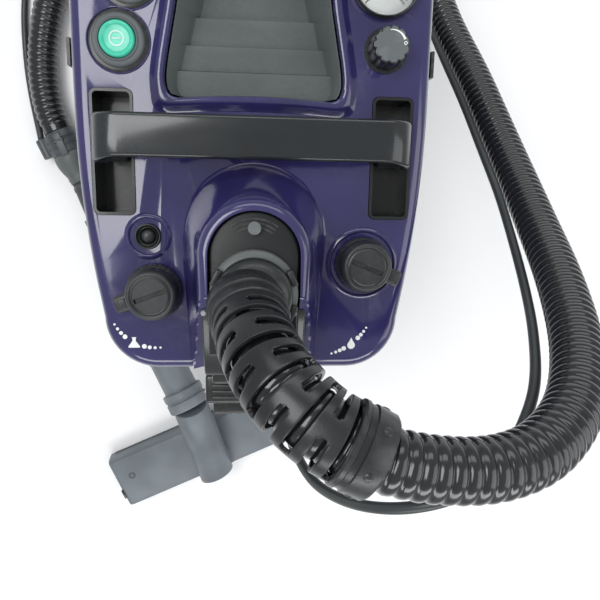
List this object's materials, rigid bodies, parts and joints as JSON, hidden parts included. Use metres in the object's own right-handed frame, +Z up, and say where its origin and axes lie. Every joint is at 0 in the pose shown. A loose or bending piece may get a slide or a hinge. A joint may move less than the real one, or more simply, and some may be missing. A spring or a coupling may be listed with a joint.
{
  "type": "carpet cleaner",
  "caption": "Wheeled spray-extraction cleaner with a top carry handle, tray and controls, an overhead suction hose and a hand-held floor nozzle.",
  "frame": {"origin": "centre of the box of the machine and its hand tool, without the hose and tube, on the floor", "axes": "+X the machine's right, +Y its rear, +Z up; the hose inlet is at the front (-Y)"},
  "size_m": [0.716, 1.0496, 0.7147],
  "materials": {
    "purple_shell": "glossy moulded",
    "black_plastic": "satin moulded",
    "dark_plastic": "satin moulded",
    "handle_plastic": "glossy moulded",
    "grey_plastic": "matte moulded",
    "wheel_plastic": "matte moulded",
    "tool_plastic": "satin moulded",
    "mint_plastic": "satin moulded",
    "white_plastic": "printed face",
    "clear_lens": "polished",
    "tank_plastic": "translucent moulded",
    "steel": "turned",
    "tyre_rubber": "matte rubber",
    "hose_plastic": "glossy corrugated",
    "tube_plastic": "satin"
  },
  "bodies": {
    "machine": {"chassis": "black_plastic", "mid_body": "purple_shell", "top_casing": "purple_shell", "inlet_turret": "purple_shell", "inlet_housing": "black_plastic", "hose_elbow": "dark_plastic", "tray_liner": "grey_plastic", "handle_wells": "black_plastic", "handle_pins": "steel", "switch_bezels": "grey_plastic", "gauge_case": "black_plastic", "gauge_dial": "white_plastic", "gauge_lens": "clear_lens", "regulator_seat": "dark_plastic", "reset_ring": "black_plastic", "filler_necks": "dark_plastic", "solution_tank": "tank_plastic", "chemical_tank": "tank_plastic", "recovery_tank": "tank_plastic", "vacuum_motor": "steel", "water_pump": "grey_plastic", "inlet_pipe": "black_plastic", "rear_axle": "steel", "caster_plates": "steel", "drain_spigot": "dark_plastic", "cord_gland": "black_plastic", "exhaust_grille": "dark_plastic", "vacuum_hose": "hose_plastic", "hose_restrictor": "dark_plastic", "solution_tube": "tube_plastic", "tube_coupler": "steel", "hose_cuff": "grey_plastic", "wand_adapter": "grey_plastic", "wand_tube": "dark_plastic", "valve_body": "black_plastic", "tool_pipe": "tool_plastic", "nozzle_body": "tool_plastic"},
    "handle": {"carry_handle": "handle_plastic"},
    "power_switch": {"power_button": "mint_plastic"},
    "pump_switch": {"pump_button": "mint_plastic"},
    "reset_switch": {"reset_button": "dark_plastic"},
    "hose_latch": {"inlet_latch": "grey_plastic"},
    "regulator": {"regulator_knob": "black_plastic"},
    "needle": {"gauge_needle": "black_plastic"},
    "chemical_cap": {"chemical_cap": "dark_plastic"},
    "water_cap": {"water_cap": "dark_plastic"},
    "fan": {"motor_fan": "grey_plastic"},
    "float": {"float_ball": "white_plastic"},
    "rear_wheel_left": {"rear_rim_left": "wheel_plastic", "rear_tyre_left": "tyre_rubber"},
    "rear_wheel_right": {"rear_rim_right": "wheel_plastic", "rear_tyre_right": "tyre_rubber"},
    "caster_left": {"caster_fork_left": "dark_plastic"},
    "caster_left_wheel": {"caster_wheel_left": "tyre_rubber"},
    "caster_right": {"caster_fork_right": "dark_plastic"},
    "caster_right_wheel": {"caster_wheel_right": "tyre_rubber"},
    "side_latch_left": {"latch_left": "dark_plastic"},
    "side_latch_right": {"latch_right": "dark_plastic"},
    "trigger": {"valve_trigger": "grey_plastic"}
  },
  "joints": [
    {"name": "handle_fold", "type": "hinge", "parent": "machine", "child": "handle", "pos_m": [0.0736, 0.1681, 0.458], "axis": [-1, 0, 0], "range_deg": [-8, 24]},
    {"name": "power_press", "type": "slide", "parent": "machine", "child": "power_switch", "axis": [0, 0, -1], "range_m": [0, 0.003], "stiffness_N_per_m": 400, "springref_m": -0.002},
    {"name": "pump_press", "type": "slide", "parent": "machine", "child": "pump_switch", "axis": [0, 0, -1], "range_m": [0, 0.003], "stiffness_N_per_m": 400, "springref_m": -0.002},
    {"name": "reset_press", "type": "slide", "parent": "machine", "child": "reset_switch", "axis": [0, 0, -1], "range_m": [0, 0.003], "stiffness_N_per_m": 400, "springref_m": -0.002},
    {"name": "inlet_latch_press", "type": "slide", "parent": "machine", "child": "hose_latch", "axis": [0, 0, -1], "range_m": [0, 0.004], "stiffness_N_per_m": 400, "springref_m": -0.002},
    {"name": "regulator_turn", "type": "hinge", "parent": "machine", "child": "regulator", "pos_m": [0.1926, 0.2531, 0.48], "axis": [0, 0, -1], "range_deg": [0, 270]},
    {"name": "needle_swing", "type": "hinge", "parent": "machine", "child": "needle", "pos_m": [0.1896, 0.3101, 0.479], "axis": [0, 0, -1], "range_deg": [0, 270]},
    {"name": "chemical_cap_turn", "type": "hinge", "parent": "machine", "child": "chemical_cap", "pos_m": [-0.0204, 0.0291, 0.485], "axis": [0, 0, 1], "range_deg": [0, 80]},
    {"name": "water_cap_turn", "type": "hinge", "parent": "machine", "child": "water_cap", "pos_m": [0.1786, 0.0571, 0.485], "axis": [0, 0, 1], "range_deg": [0, 80]},
    {"name": "fan_spin", "type": "hinge", "parent": "machine", "child": "fan", "pos_m": [0.0256, 0.2601, 0.1], "axis": [0, 0, 1], "continuous": true},
    {"name": "float_rise", "type": "slide", "parent": "machine", "child": "float", "axis": [0, 0, 1], "range_m": [0, 0.04]},
    {"name": "rear_wheel_left_spin", "type": "hinge", "parent": "machine", "child": "rear_wheel_left", "pos_m": [-0.0724, 0.3341, 0.095], "axis": [1, 0, 0], "continuous": true},
    {"name": "rear_wheel_right_spin", "type": "hinge", "parent": "machine", "child": "rear_wheel_right", "pos_m": [0.2196, 0.3341, 0.095], "axis": [1, 0, 0], "continuous": true},
    {"name": "caster_left_swivel", "type": "hinge", "parent": "machine", "child": "caster_left", "pos_m": [-0.0184, 0.0211, 0.062], "axis": [0, 0, 1], "continuous": true},
    {"name": "caster_left_roll", "type": "hinge", "parent": "caster_left", "child": "caster_left_wheel", "pos_m": [-0.0184, 0.0371, 0.025], "axis": [1, 0, 0], "continuous": true},
    {"name": "caster_right_swivel", "type": "hinge", "parent": "machine", "child": "caster_right", "pos_m": [0.1656, 0.0211, 0.062], "axis": [0, 0, 1], "continuous": true},
    {"name": "caster_right_roll", "type": "hinge", "parent": "caster_right", "child": "caster_right_wheel", "pos_m": [0.1656, 0.0371, 0.025], "axis": [1, 0, 0], "continuous": true},
    {"name": "latch_left_open", "type": "hinge", "parent": "machine", "child": "side_latch_left", "pos_m": [-0.0934, 0.2461, 0.408], "axis": [0, -1, 0], "range_deg": [0, 60]},
    {"name": "latch_right_open", "type": "hinge", "parent": "machine", "child": "side_latch_right", "pos_m": [0.2406, 0.2461, 0.408], "axis": [0, 1, 0], "range_deg": [0, 60]},
    {"name": "trigger_squeeze", "type": "hinge", "parent": "machine", "child": "trigger", "pos_m": [-0.17499, 0.06817, 0.08292], "axis": [0.9135, 0.4067, 0], "range_deg": [0, 8], "stiffness_Nm_per_rad": 0.05, "springref_deg": -11.46}
  ]
}
